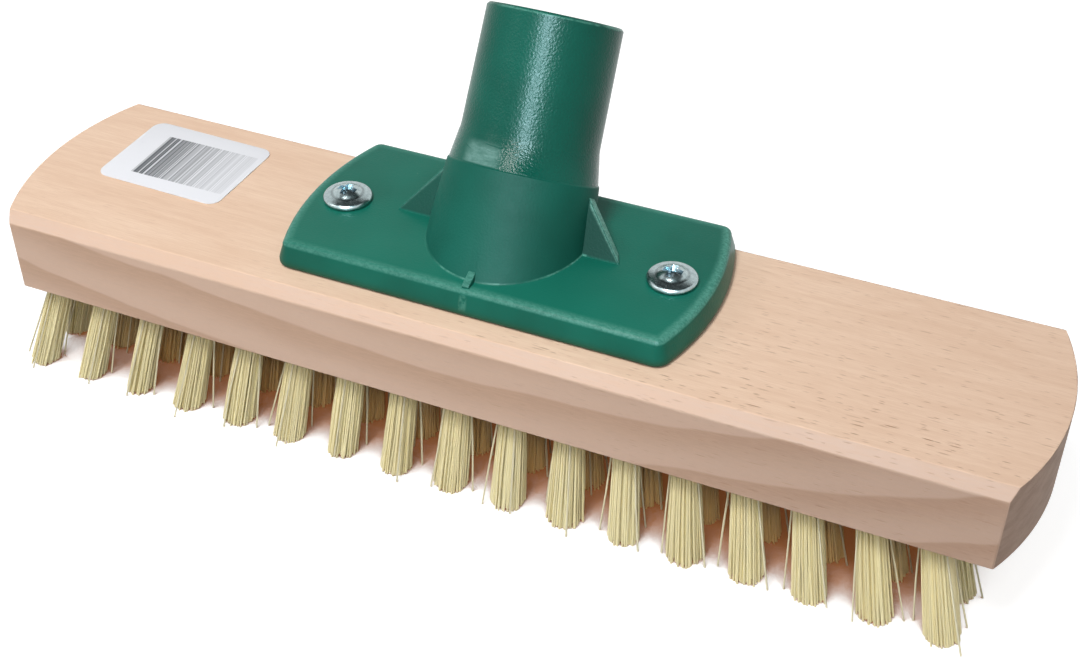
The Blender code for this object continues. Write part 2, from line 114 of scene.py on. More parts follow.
def bevelEdges(piece, test, width, steps):
    openEdit(piece, "EDGE")
    count = pick(piece, "edges", test)
    bpy.ops.mesh.bevel(offset=width, segments=steps, affect="EDGES", clamp_overlap=False)
    deselectAll()
    return count


def stepInward(piece, test, steps):
    # insets the chosen faces again and again by (how far in, how far out along their normal)
    openEdit(piece)
    pick(piece, "faces", test)
    for inward, outward in steps:
        bpy.ops.mesh.inset(thickness=inward, depth=outward, use_even_offset=True)
    deselectAll()


def roundingSteps(radius, count):
    # the steps of a quarter circle that starts upright
    angles = [math.pi / 2 * step / count for step in range(count + 1)]
    return [
        (radius * (math.cos(a) - math.cos(b)), radius * (math.sin(b) - math.sin(a)))
        for a, b in zip(angles, angles[1:])
    ]


def combine(piece, other, how):
    # joins or cuts by another closed shape, which is used up
    makeActive(piece)
    change = piece.modifiers.new(how.title(), "BOOLEAN")
    change.operation = how
    change.solver = "EXACT"
    change.object = other
    bpy.ops.object.modifier_apply(modifier=change.name)
    bpy.data.objects.remove(other, do_unlink=True)
    return piece


def easeEdges(piece, width, steps, angle):
    makeActive(piece)
    change = piece.modifiers.new("Eased", "BEVEL")
    change.width = width
    change.segments = steps
    change.limit_method = "ANGLE"
    change.angle_limit = math.radians(angle)
    change.use_clamp_overlap = False
    bpy.ops.object.modifier_apply(modifier=change.name)


def tidyMesh(piece, smoothAngle=32):
    editAll(piece)
    bpy.ops.mesh.remove_doubles(threshold=1e-7)
    bpy.ops.mesh.normals_make_consistent(inside=False)
    deselectAll()
    makeActive(piece)
    bpy.ops.object.shade_smooth_by_angle(angle=math.radians(smoothAngle))
    deselectAll()


def copyAt(piece, name, matrix):
    twin = piece.copy()
    twin.data = piece.data.copy()
    twin.name = name
    twin.data.name = name
    twin.data.transform(matrix)
    bpy.context.collection.objects.link(twin)
    return twin


def joinAll(pieces, name):
    deselectAll()
    for piece in pieces:
        piece.select_set(True)
    bpy.context.view_layer.objects.active = pieces[0]
    if len(pieces) > 1:
        bpy.ops.object.join()
    pieces[0].name = name
    pieces[0].data.name = name
    return pieces[0]


def turnProfile(name, profile, points):
    # a circle at the first (radius, height), extruded and resized to each of the others
    radius, height = profile[0]
    bpy.ops.mesh.primitive_circle_add(vertices=points, radius=radius, location=(0, 0, height))
    piece = newest(name)
    editAll(piece, "VERT")
    for nextRadius, nextHeight in profile[1:]:
        bpy.ops.mesh.extrude_region_move(TRANSFORM_OT_translate={"value": (0, 0, nextHeight - height)})
        factor = nextRadius / radius
        bpy.ops.transform.resize(value=(factor, factor, 1), center_override=(0, 0, nextHeight))
        radius, height = nextRadius, nextHeight
    deselectAll()
    return piece


def closeRing(piece):
    # bridges the first loop of a turned wall to its last
    openEdit(piece, "EDGE")
    pick(piece, "edges", lambda edge: edge.is_boundary)
    bpy.ops.mesh.bridge_edge_loops()
    deselectAll()


def fillEnds(piece):
    openEdit(piece, "EDGE")
    pick(piece, "edges", lambda edge: edge.is_boundary)
    bpy.ops.mesh.edge_face_add()
    deselectAll()


# shading helpers
class Wire:
    # a socket that Python operators join through Math nodes
    def __init__(self, paint, socket):
        self.paint = paint
        self.socket = socket

    def maths(self, operation, first, second=0.0):
        return self.paint.node("ShaderNodeMath", {"operation": operation}, {0: first, 1: second})

    def __add__(self, other):
        return self.maths("ADD", self, other)

    def __radd__(self, other):
        return self.maths("ADD", other, self)

    def __sub__(self, other):
        return self.maths("SUBTRACT", self, other)

    def __rsub__(self, other):
        return self.maths("SUBTRACT", other, self)

    def __mul__(self, other):
        return self.maths("MULTIPLY", self, other)

    def __rmul__(self, other):
        return self.maths("MULTIPLY", other, self)

    def __truediv__(self, other):
        return self.maths("DIVIDE", self, other)

    def __pow__(self, other):
        return self.maths("POWER", self, other)

    def __gt__(self, other):
        return self.maths("GREATER_THAN", self, other)

    def __lt__(self, other):
        return self.maths("LESS_THAN", self, other)

    def size(self):
        return self.maths("ABSOLUTE", self)

    def least(self, other):
        return self.maths("MINIMUM", self, other)

    def most(self, other):
        return self.maths("MAXIMUM", self, other)

    def whole(self):
        return self.maths("FLOOR", self)

    def ramp(self, low, high, fromLow=0.0, fromHigh=1.0):
        # smooth step from low to high
        sockets = {"Value": self, "From Min": low, "From Max": high, "To Min": fromLow, "To Max": fromHigh}
        return self.paint.node("ShaderNodeMapRange", {"interpolation_type": "SMOOTHSTEP"}, sockets)

    def fall(self, low, high):
        # 1 up to low, and smoothly down to 0 at high
        return 1 - self.ramp(low, high)

    def band(self, start, full, fading, end):
        # 1 between full and fading, and 0 outside start and end
        return self.ramp(start, full) * self.fall(fading, end)


class Paint:
    # the nodes of a material or of the room, with their shader and the object's coordinates in metres
    def __init__(self, owner, shaderName, constants):
        owner.use_nodes = True
        self.owner = owner
        self.tree = owner.node_tree
        self.shader = self.tree.nodes[shaderName]
        for socket, value in constants.items():
            self.shader.inputs[socket].default_value = value
        self.place = self.node("ShaderNodeTexCoord", {}, {}, "Object")

    def node(self, kind, settings, sockets, output=0):
        made = self.tree.nodes.new(kind)
        for setting, value in settings.items():
            setattr(made, setting, value)
        for socket, value in sockets.items():
            if isinstance(value, Wire):
                self.tree.links.new(value.socket, made.inputs[socket])
            else:
                made.inputs[socket].default_value = value
        return Wire(self, made.outputs[output])

    def feed(self, socket, wire):
        self.tree.links.new(wire.socket, self.shader.inputs[socket])

    def axis(self, vector, letter):
        return self.node("ShaderNodeSeparateXYZ", {}, {"Vector": vector}, letter.upper())

    def facing(self, letter):
        return self.axis(self.node("ShaderNodeNewGeometry", {}, {}, "Normal"), letter)

    def millimetres(self, origin=(0, 0, 0)):
        # how far a point lies from the origin along x, y and z
        return [self.axis(self.place, letter) * 1000 - start * 1000 for letter, start in zip("xyz", origin)]

    def scaled(self, x, y, z, move=(0, 0, 0), turn=(0, 0, 0)):
        # the place in units of x, y and z millimetres
        sockets = {"Vector": self.place, "Location": move, "Rotation": turn, "Scale": (1000 / x, 1000 / y, 1000 / z)}
        return self.node("ShaderNodeMapping", {"vector_type": "POINT"}, sockets)

    def noise(self, place, scale=1.0, detail=2.0, roughness=0.5):
        sockets = {"Vector": place, "Scale": scale, "Detail": detail, "Roughness": roughness}
        return self.node("ShaderNodeTexNoise", {"noise_dimensions": "3D"}, sockets)

    def cells(self, place, output="Distance"):
        return self.node("ShaderNodeTexVoronoi", {"feature": "F1"}, {"Vector": place, "Scale": 1.0}, output)

    def mix(self, amount, first, second, blend="MIX"):
        colours = [c if isinstance(c, Wire) else (*c, 1) for c in (first, second)]
        sockets = {0: amount, 6: colours[0], 7: colours[1]}
        return self.node("ShaderNodeMix", {"data_type": "RGBA", "blend_type": blend}, sockets, 2)

    def bump(self, height, strength, distance):
        return self.node("ShaderNodeBump", {}, {"Strength": strength, "Distance": distance, "Height": height})

    def seen(self):
        # 1 where the camera looks, also by way of a mirror or through something clear
        rays = ("Is Camera Ray", "Is Glossy Ray", "Is Transmission Ray")
        camera, glossy, through = [self.node("ShaderNodeLightPath", {}, {}, ray) for ray in rays]
        return camera.most(glossy).most(through)


def newFinish(name, constants):
    return Paint(bpy.data.materials.new(name), "Principled BSDF", constants)


def dress(piece, paint, slotName, *nodes):
    # the finish, the body and the CAD nodes that a piece stands for
    piece.data.materials.clear()
    piece.data.materials.append(paint.owner)
    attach(piece, "root")
    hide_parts(*nodes)


# camera
camera = {
    "place": (0.12794, -0.26827, 0.26197),
    "turn": (51.444, 0.049, 23.567),  # degrees
    "lens": 53.87,
    "sensor": 36.0,
}
bpy.ops.object.camera_add(location=camera["place"], rotation=[math.radians(angle) for angle in camera["turn"]])
lookingAt = bpy.context.active_object
lookingAt.name = "camera"
lookingAt.data.sensor_fit = "HORIZONTAL"
lookingAt.data.sensor_width = camera["sensor"]
lookingAt.data.lens = camera["lens"]
lookingAt.data.clip_start = 0.01
bpy.context.scene.camera = lookingAt
bpy.context.scene.view_settings.view_transform = "Standard"


# light
light = {
    "surround": 0.22,  # what the white room gives the object
    "aim": (0.004, 0.0, 0.055),
    "keyPlace": (-0.10, -0.483, 1.0),
    "keySize": (0.30, 0.30),
    "keyPower": 7.1,
    "fillPlace": (0.225, -0.547, 0.666),
    "fillSize": (0.30, 0.30),
    "fillPower": 1.45,
    "gleamPlace": (0.180, -0.686, 0.618),  # a tall cool strip, makes the long gleam on the tube
    "gleamSize": (0.08, 0.46),
    "gleamPower": 18.0,
    "gleamColour": (0.60, 0.90, 1.0),
    "gleamRoll": -20.0,  # degrees, its top leans to the right
    "windowPlace": (-0.60, -0.438, 0.558),  # wide and dim, seen in the left of the tube
    "windowSize": (0.22, 0.22),
    "windowPower": 0.6,
}


def addLamp(name, shape):
    place = light[name + "Place"]
    way = Vector(light["aim"]) - Vector(place)
    bpy.ops.object.light_add(type="AREA", location=place, rotation=way.to_track_quat("-Z", "Y").to_euler())
    lamp = bpy.context.active_object
    lamp.name = name + "Lamp"
    lamp.data.shape = shape
    lamp.data.size, lamp.data.size_y = light[name + "Size"]
    lamp.data.energy = light[name + "Power"]
    return lamp


addLamp("key", "ELLIPSE")
addLamp("fill", "ELLIPSE")
addLamp("window", "RECTANGLE")
gleam = addLamp("gleam", "RECTANGLE")
gleam.data.color = light["gleamColour"]
roll = Quaternion((0, 0, 1), math.radians(light["gleamRoll"]))
gleam.rotation_euler = (gleam.rotation_euler.to_quaternion() @ roll).to_euler()
gleam.visible_diffuse = False  # only shows in the gloss

room = Paint(bpy.data.worlds.new("whiteRoom"), "Background", {"Color": (1, 1, 1, 1)})
room.feed("Strength", light["surround"] + room.seen() * (1 - light["surround"]))
bpy.context.scene.world = room.owner


# floor
floor = {
    "size": 6.0,
    "colour": (0.50, 0.50, 0.50),
    "lift": 0.80,  # how brightly it shows to the camera
    "shadeReach": 0.045,
    "shade": (0.13, 0.044, 0.014),
    "underBrushShade": (0.36, 0.15, 0.06),  # painted amber shade under the brush, for the light the bristles throw on the floor
}
bpy.ops.mesh.primitive_plane_add(size=floor["size"], location=(0, 0, 0))
ground = newest("floor")
floorPaint = newFinish(
    "paleFloor", {"Roughness": 0.9, "Specular IOR Level": 0.0, "Emission Strength": floor["lift"]}
)
# the white fades where the block stands close over the floor, so that its shade stays: there the lift turns to a
# painted brown shade, and the floor's colour to a painted amber shade for the light off the bristles
openFloor = floorPaint.node("ShaderNodeAmbientOcclusion", {"samples": 12}, {"Distance": floor["shadeReach"]}, "AO")
floorPaint.feed("Base Color", floorPaint.mix(openFloor.ramp(0.14, 0.30), floor["underBrushShade"], floor["colour"]))
liftAndShade = floorPaint.mix(openFloor.ramp(0.20, 0.38), floor["shade"], (1, 1, 1))
floorPaint.feed("Emission Color", floorPaint.mix(floorPaint.seen(), (0, 0, 0), liftAndShade))
ground.data.materials.append(floorPaint.owner)

# a grey ceiling that only metal and gloss mirror
ceiling = {"place": (0.0, 0.25, 1.6), "size": 2.2, "colour": (0.05, 0.052, 0.055)}
bpy.ops.mesh.primitive_plane_add(size=ceiling["size"], location=ceiling["place"])
ceilingPlane = newest("greyCeiling")
ceilingPaint = newFinish("greyCeiling", {"Roughness": 1.0, "Base Color": (*ceiling["colour"], 1)})
ceilingPlane.data.materials.append(ceilingPaint.owner)
ceilingPlane.visible_camera = False
ceilingPlane.visible_diffuse = False
ceilingPlane.visible_shadow = False
print("camera, light and floor ready")


# beech
beech = {
    "pale": (0.955, 0.715, 0.540),
    "warm": (0.79, 0.53, 0.37),
    "fleck": (0.36, 0.19, 0.11),
    "chamferPink": (0.72, 0.525, 0.425),
    # the sides are painted darker and pinker than the top: partly the sawn face's own tone, partly painted shade
    "sideLight": (0.735, 0.525, 0.405),
    "sideDark": (0.575, 0.370, 0.258),
    "pith": (22.0, 20.0),  # how far in front of and below the origin the rings have their middle, in mm
    "ringWidth": 5.5,
    "ringMiddle": 5.0,  # where the side's rings dip lowest, in mm
    "ringTop": 34.5,
    "ringStep": 12.6,
    "ringRise": (0.00074, 0.0016),  # how they climb to the left and to the right
    "rightFalloffShade": (0.78, 0.76, 0.76),  # painted shade: how much the wood darkens towards its right end, where less light falls
    "endGrain": (0.46, 0.31, 0.23),
    "endDark": (0.33, 0.21, 0.15),
    # the underside is painted darker and warmer: painted shade under the block
    "under": (0.60, 0.36, 0.20),
    "grainTurn": (0, 0, 0.045),  # how the fibres run across the block's length
}


def beechPaint():
    paint = newFinish("plainBeech", {"Specular IOR Level": 0.25})
    x, y, z = paint.millimetres()
    sideways = paint.facing("y").size()
    onSide = sideways.ramp(0.78, 0.95)
    onChamfer = sideways.ramp(0.35, 0.62) * (1 - onSide)
    atEnd = paint.facing("x").size().ramp(0.5, 0.8)

    # growth rings round a pith below the block, wandering slowly along it
    wander = paint.noise(paint.scaled(70, 30, 30)) - 0.5
    pithFront, pithBelow = beech["pith"]
    across = y + pithFront + wander * 12
    up = z + pithBelow + wander * 30
    rings = ((across * across + up * up) ** 0.5) / beech["ringWidth"] + x * 0.006
    ringPlace = paint.node("ShaderNodeCombineXYZ", {}, {"X": rings})
    bands = paint.noise(ringPlace, detail=3.0, roughness=0.55).ramp(0.34, 0.66)

    # rings cut lengthwise on the sides: each starts dark and pales downwards
    fromDip = x - beech["ringMiddle"]
    leftRise, rightRise = beech["ringRise"]
    climb = (fromDip * fromDip) * (leftRise + (fromDip > 0.0) * (rightRise - leftRise))
    sway = (paint.noise(paint.scaled(34, 40, 14)) - 0.5) * 5.0
    ringCount = (beech["ringTop"] + climb + sway - z) / beech["ringStep"]
    withinRing = ringCount - ringCount.whole()
    sideBands = withinRing.band(0.0, 0.8, 0.93, 1.0)

    # short dark flecks along the grain, denser towards the right end
    def flecks(length, width, keep, thin, full):
        cellPlace = paint.scaled(length, width, width, turn=beech["grainTurn"])
        wiggle = paint.noise(paint.scaled(5, 2, 2), detail=1.0)
        bent = paint.node("ShaderNodeVectorMath", {"operation": "ADD"}, {0: cellPlace, 1: wiggle * 0.5})
        chosen = paint.axis(paint.cells(bent, "Color"), "x").ramp(keep, 1.05)
        return paint.cells(bent).fall(thin, full) * chosen

    patchy = paint.noise(paint.scaled(30, 11, 11), detail=1.5).ramp(0.30, 0.66, 0.20, 1.0)
    toFront = (0 - y).ramp(-14, 22, 0.45, 1.0)
    toRight = x.ramp(-70, 90, 0.16, 1.0) * toFront
    long = flecks(6.6, 0.80, 0.30, 0.10, 0.30) * toRight * patchy
    short = flecks(3.6, 0.58, 0.25, 0.08, 0.32) * toRight
    fleck = long.most(short * 0.8)
    # fine fibres and soft clouds
    fibres = paint.noise(paint.scaled(5, 0.36, 0.36, turn=beech["grainTurn"]), detail=3.0, roughness=0.65)
    mottling = paint.noise(paint.scaled(1.7, 0.7, 0.7), detail=3.0, roughness=0.7)
    streaks = paint.noise(paint.scaled(26, 1.6, 1.6, turn=(0, 0, 0.03))).ramp(0.32, 0.68)
    cloud = paint.noise(paint.scaled(46, 15, 15)).ramp(0.30, 0.70)

    colour = paint.mix(bands * 0.24 + streaks * 0.24 + cloud * 0.18, beech["pale"], beech["warm"])
    chamferColour = paint.mix(cloud * 0.35 + fibres * 0.2, beech["chamferPink"], beech["warm"])
    colour = paint.mix(onChamfer * 0.85, colour, chamferColour)
    # the sides' grain bands, painted darker than the top: partly their own tone, partly painted shade
    sideColour = paint.mix(sideBands * 0.85 + mottling * 0.22, beech["sideDark"], beech["sideLight"])
    colour = paint.mix(onSide, colour, sideColour)
    colour = paint.mix(fibres.ramp(0.36, 0.68) * (0.36 - onSide * 0.14), colour, beech["warm"])
    # painted shade: the wood darkens towards its right end, where less light falls
    falloffShade = x.ramp(0, 150) * (0.5 + onChamfer * 0.25) + x.ramp(-70, 140) * onSide * 0.45
    colour = paint.mix(falloffShade, colour, beech["rightFalloffShade"], "MULTIPLY")
    colour = paint.mix(fleck * (0.92 - onSide * 0.5 - onChamfer * 0.4), colour, beech["fleck"])
    # sawn ends: darker, mottled slantwise, with pores instead of flecks
    slant = paint.scaled(13, 6, 2.6, turn=(0.5, 0, 0))
    mottle = paint.noise(slant, detail=3.0, roughness=0.6).ramp(0.34, 0.68)
    pores = paint.cells(paint.scaled(0.8, 0.55, 0.4)).fall(0.08, 0.42)
    endColour = paint.mix(mottle * 0.6 + pores * 0.25, beech["endGrain"], beech["endDark"])
    colour = paint.mix(atEnd, colour, endColour)
    # painted shade: the underside darker and warmer
    colour = paint.mix((0 - paint.facing("z")).ramp(0.6, 0.9), colour, beech["under"])
    paint.feed("Base Color", colour)
    paint.feed("Roughness", 0.56 + fibres * 0.16)
    roughSaw = paint.noise(paint.scaled(2.2, 0.7, 0.7), detail=3.0, roughness=0.7)
    height = fibres * 0.8 - fleck * 1.2 + roughSaw * (onChamfer * 1.6 + onSide * 1.2 + atEnd * 1.2)
    paint.feed("Normal", paint.bump(height, 0.42, 0.00015))
    return paint


block = {
    "endRadius": 0.06357,
    "endPoints": 192,
    "chamfer": 0.0025,
    "easedEdge": 0.0003,
    "holeRadius": 0.00325,
    "holeDepth": 0.0098,
    "holePoints": 28,
}
tuftGrid = {
    "columns": 17,
    "rows": 5,
    "lastColumn": 0.1084,
    "outerRow": 0.021,
    "columnLean": 15.0,  # degrees, of the last column
    "rowLean": 14.5,
}
blockLow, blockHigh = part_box("beech_block")
underside, blockTop = blockLow.z, blockHigh.z


def tuftPlaces():
    # column, row, middle at the underside and sideways run for each metre down
    for column in range(tuftGrid["columns"]):
        alongBlock = -1 + 2 * column / (tuftGrid["columns"] - 1)
        for row in range(tuftGrid["rows"]):
            acrossBlock = -1 + 2 * row / (tuftGrid["rows"] - 1)
            root = Vector((alongBlock * tuftGrid["lastColumn"], acrossBlock * tuftGrid["outerRow"], underside))
            run = Vector((
                math.tan(math.radians(tuftGrid["columnLean"] * alongBlock)),
                math.tan(math.radians(tuftGrid["rowLean"] * acrossBlock)),
                0,
            ))
            yield column, row, root, run


def makeBlock():
    halfLength, halfWidth = (blockHigh.x - blockLow.x) / 2, (blockHigh.y - blockLow.y) / 2
    bpy.ops.mesh.primitive_cylinder_add(
        vertices=block["endPoints"],
        radius=block["endRadius"],
        depth=blockTop - underside,
        location=(0, 0, (underside + blockTop) / 2),
    )
    piece = newest("woodBlock")
    for side in (-1, 1):
        bisectAt(piece, (0, side * halfWidth, 0), (0, side, 0))
    spread = halfLength - block["endRadius"]
    moveVerts(piece, lambda vert: vert.co.x > 0.01, (spread, 0, 0))
    moveVerts(piece, lambda vert: vert.co.x < -0.01, (-spread, 0, 0))
    for side in (-1, 1):  # the planed chamfers
        bisectAt(piece, (0, side * halfWidth, blockTop - block["chamfer"]), (0, side, 1))
    tidyMesh(piece)
    easeEdges(piece, block["easedEdge"], 2, 35)
    piece.location = ((blockLow.x + blockHigh.x) / 2, 0, 0)
    settle(piece)

    # one leaning hole, copied to every tuft
    bpy.ops.mesh.primitive_cylinder_add(
        vertices=block["holePoints"], radius=block["holeRadius"], depth=block["holeDepth"] * 2, location=(0, 0, 0)
    )
    hole = newest("hole")
    cutters = []
    for column, row, root, run in tuftPlaces():
        lean = Matrix(((1, 0, -run.x, root.x), (0, 1, -run.y, root.y), (0, 0, 1, root.z), (0, 0, 0, 1)))
        cutters.append(copyAt(hole, "holeCopy", lean))
    bpy.data.objects.remove(hole, do_unlink=True)
    combine(piece, joinAll(cutters, "tuftHoles"), "DIFFERENCE")
    tidyMesh(piece)
    return piece


woodBlock = makeBlock()
dress(woodBlock, beechPaint(), "beech", "beech_block")
print("block drilled:", len(woodBlock.data.polygons), "faces")


# bristles
bristles = {
    "perTuft": 180,
    "sides": 5,
    "bends": 3,
    "radius": 0.00022,
    "radiusSpread": (0.88, 1.12),
    "rootRadius": 0.00295,
    "tipRadius": 0.0037,
    "startUp": 0.006,  # inside the hole
    "goldenAngle": 2.39996,  # spreads the filaments evenly over a tuft
    "flareSpread": (0.90, 1.08),
    "flareLeft": 0.94,  # how far the first column's tufts flare, and how much more each next one
    "flareStep": 0.0108,
    # how far each random draw strays, in radians and metres
    "scatter": {"angle": 0.05, "flare": 0.00012, "tip": 0.00013, "trim": 0.00022, "bow": 0.00015},
    "stray": 3,
    "strayReach": 0.0026,
    "inward": (0.0, 0.7, 1.0, 0.7, 0.0),  # how much painted shade each row gets, by how deep it stands in the brush
    "inwardStep": 0.6,  # and each column, counted from its end
    "seed": 11,
}
fibre = {
    "pale": (0.90, 0.82, 0.51),
    "deep": (0.80, 0.66, 0.30),
    "innerShadeBrown": (0.30, 0.11, 0.025),  # painted shade deep in the brush, near the wood
    "innerBounceHoney": (0.86, 0.52, 0.15),  # painted amber shade and bounce deep in the brush, near the floor
    "cool": (0.72, 0.69, 0.54),
}


def makeFilament():
    # one filament of unit length, ringed so that it can bend
    bpy.ops.mesh.primitive_circle_add(vertices=bristles["sides"], radius=1, fill_type="NGON", location=(0, 0, 0))
    piece = newest("filament")
    editAll(piece)
    for step in range(bristles["bends"]):
        bpy.ops.mesh.extrude_region_move(TRANSFORM_OT_translate={"value": (0, 0, 1 / bristles["bends"])})
    deselectAll()
    tidyMesh(piece, 65)
    return piece


def makeTufts():
    # the points, faces and attributes of each column's filaments
    filament = makeFilament()
    shape = np.array([v.co for v in filament.data.vertices])
    faces = [tuple(face.vertices) for face in filament.data.polygons]
    bpy.data.objects.remove(filament, do_unlink=True)
    chance = np.random.default_rng(bristles["seed"])
    count, scatter = bristles["perTuft"], bristles["scatter"]
    up = underside + bristles["startUp"]
    columns = {}
    for column, row, root, run in tuftPlaces():
        held = columns.setdefault(column, {"points": [], "faces": [], "tint": [], "along": [], "inner": []})
        fromEnd = min(column, tuftGrid["columns"] - 1 - column)
        inner = bristles["inward"][row] * min(1, fromEnd * bristles["inwardStep"])
        middleRoot, way = np.array((root.x, root.y)), np.array((run.x, run.y)) * underside
        swirl = chance.uniform(0, math.tau)
        tuftTint = chance.uniform(0, 1)
        spread = chance.uniform(*bristles["flareSpread"]) * (bristles["flareLeft"] + bristles["flareStep"] * column)
        for index in range(count):
            stray = index >= count - bristles["stray"]
            share = math.sqrt((index + 0.5) / count)
            angle = swirl + index * bristles["goldenAngle"] + chance.normal(0, scatter["angle"])
            outward = np.array((math.cos(angle), math.sin(angle)))
            start = outward * share * bristles["rootRadius"]
            flare = share * bristles["tipRadius"] * spread + chance.normal(0, scatter["flare"])
            end = outward * flare + chance.normal(0, scatter["tip"], 2)
            if stray:
                end = end + start / bristles["rootRadius"] * chance.uniform(0.3, 1.0) * bristles["strayReach"]
            tip = chance.exponential(scatter["trim"])
            bow = chance.normal(0, scatter["bow"], 2)
            twist = chance.uniform(0, math.tau)
            turned = np.array(((math.cos(twist), -math.sin(twist)), (math.sin(twist), math.cos(twist))))
            # shape[:, 2] runs from the hole at 0 to the tip at 1
            height = up + (tip - up) * shape[:, 2]
            below = (underside - height) / underside
            along = np.clip(below, 0, 1)
            middle = middleRoot + start + np.outer(below, way + (end - start))
            middle = middle + np.outer(along * (1 - along) * 4, bow)
            spot = shape[:, :2] @ turned.T * bristles["radius"] * chance.uniform(*bristles["radiusSpread"]) + middle
            tint = 1.0 if stray else 0.55 * chance.uniform(0, 1) + 0.3 * tuftTint
            first = len(held["points"]) * len(shape)
            held["points"].append(np.column_stack((spot, height)))
            held["faces"].extend(tuple(first + corner for corner in face) for face in faces)
            held["along"].append(along)
            held["tint"].append(np.full(len(shape), tint))
            held["inner"].append(np.full(len(shape), inner))
    return columns


def fibrePaint():
    paint = newFinish("paleFibre", {})
    tint, along, inner = [
        paint.node("ShaderNodeAttribute", {"attribute_name": name}, {}, "Fac") for name in ("tint", "along", "inner")
    ]
    colour = paint.mix(tint.ramp(0.0, 0.8) * 0.35, fibre["pale"], fibre["deep"])
    # painted shade: deeper colour near the roots, under the block
    colour = paint.mix(along.fall(0.0, 0.6) * 0.30, colour, fibre["deep"])
    # painted shade deep in the brush: brown near the wood, amber near the floor
    innerShadeColour = paint.mix(along.ramp(0.1, 0.95), fibre["innerShadeBrown"], fibre["innerBounceHoney"])
    colour = paint.mix(inner, colour, innerShadeColour)
    colour = paint.mix(tint.ramp(0.9, 0.98) * 0.6, colour, fibre["cool"])  # the stray ones
    paint.feed("Base Color", colour)
    paint.feed("Roughness", 0.36 + tint * 0.14)
    return paint


paleFibre = fibrePaint()
for column, held in makeTufts().items():
    name = f"tuftColumn{column + 1:02d}"
    mesh = bpy.data.meshes.new(name)
    mesh.from_pydata(np.concatenate(held["points"]).tolist(), [], held["faces"])
    for label in ("tint", "along", "inner"):
        mesh.attributes.new(label, "FLOAT", "POINT").data.foreach_set("value", np.concatenate(held[label]))
    piece = bpy.data.objects.new(name, mesh)
    bpy.context.collection.objects.link(piece)
    tidyMesh(piece, 65)
    dress(piece, paleFibre, "fibre", f"tufts_{column + 1:02d}")
print("bristles planted")


# green plastic
plastic = {
    "green": (0.004, 0.152, 0.105),
    "deepGreen": (0.002, 0.112, 0.076),
    "litDeckGreen": (0.014, 0.188, 0.130),  # painted light: the deck lighter, most in front of the tube
    "edgeHighlightAndWear": (0.105, 0.350, 0.275),  # painted highlights on the edges, with some wear
    "litSlopeGreen": (0.26, 0.60, 0.50),  # painted light on the rough slopes of the gussets
    "tubeShade": (0.75, 0.80, 0.82),
    "gussetShade": (0.60, 0.62, 0.60),
    "woodShadeGreen": (0.030, 0.055, 0.022),  # painted shade and reflection of the wood where the plate's side nears it
    "scuff": (0.28, 0.50, 0.42),
    "sheen": (0.22, 0.42, 0.38),  # a painted sheen on the collar, partly a rubbed patch
}
socket = {
    "plateHalfWidth": 0.02445,
    "plateEndRadius": 0.06728,
    "plateTop": 0.0516,
    "plateDraft": 0.001,
    "cornerRadius": 0.0035,
    "topRounding": 0.0015,
    "lowerRounding": 0.0007,
    "endPoints": 40,
    "cornerPoints": 8,
    "wall": 0.0025,
    "deck": 0.0026,
    "trayDraft": 0.0002,
    "lean": 31.0,  # degrees, back from upright
    "plateBehindTube": 0.0018,
    "tubePoints": 128,
    "footRadius": 0.0187,
    "footTop": 0.0075,
    "collarRadius": 0.0174,
    "collarBottom": 0.021,
    "collarTop": 0.0281,
    "tubeRadius": 0.0155,
    "tubeDraft": 0.0004,
    "tubeLength": 0.0561,
    "boreRadius": 0.0122,
    "boreTaper": 0.0004,
    "wayRadius": 0.0138,  # the opening in the plate, inside the foot's wall
    "footRounding": 0.0004,
    "easedEdge": 0.0003,
    "gussetReach": 0.0268,
    "gussetHeight": 0.0188,
    "gussetForward": 0.0012,
    "gussetThickness": 0.0031,
    "gussetRoot": 0.0016,  # how far it reaches into the collar
    "gussetSunk": 0.0014,  # and into the plate
    "ribThickness": 0.0018,
    "ribReach": 0.0026,
    "ribHeight": 0.0024,
    "ribToe": 0.0007,
    "ribSunk": 0.0008,
}
leanSine, leanCosine = math.sin(math.radians(socket["lean"])), math.cos(math.radians(socket["lean"]))
plateLow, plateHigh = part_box("handle_socket")
plateMiddle = Vector(((plateLow.x + plateHigh.x) / 2, plateLow.y + socket["plateHalfWidth"], plateLow.z))
tubeFoot = Vector((plateMiddle.x, plateMiddle.y - socket["plateBehindTube"], blockTop))
tubeFrame = Matrix.Translation(tubeFoot) @ Matrix.Rotation(-math.radians(socket["lean"]), 4, "X")


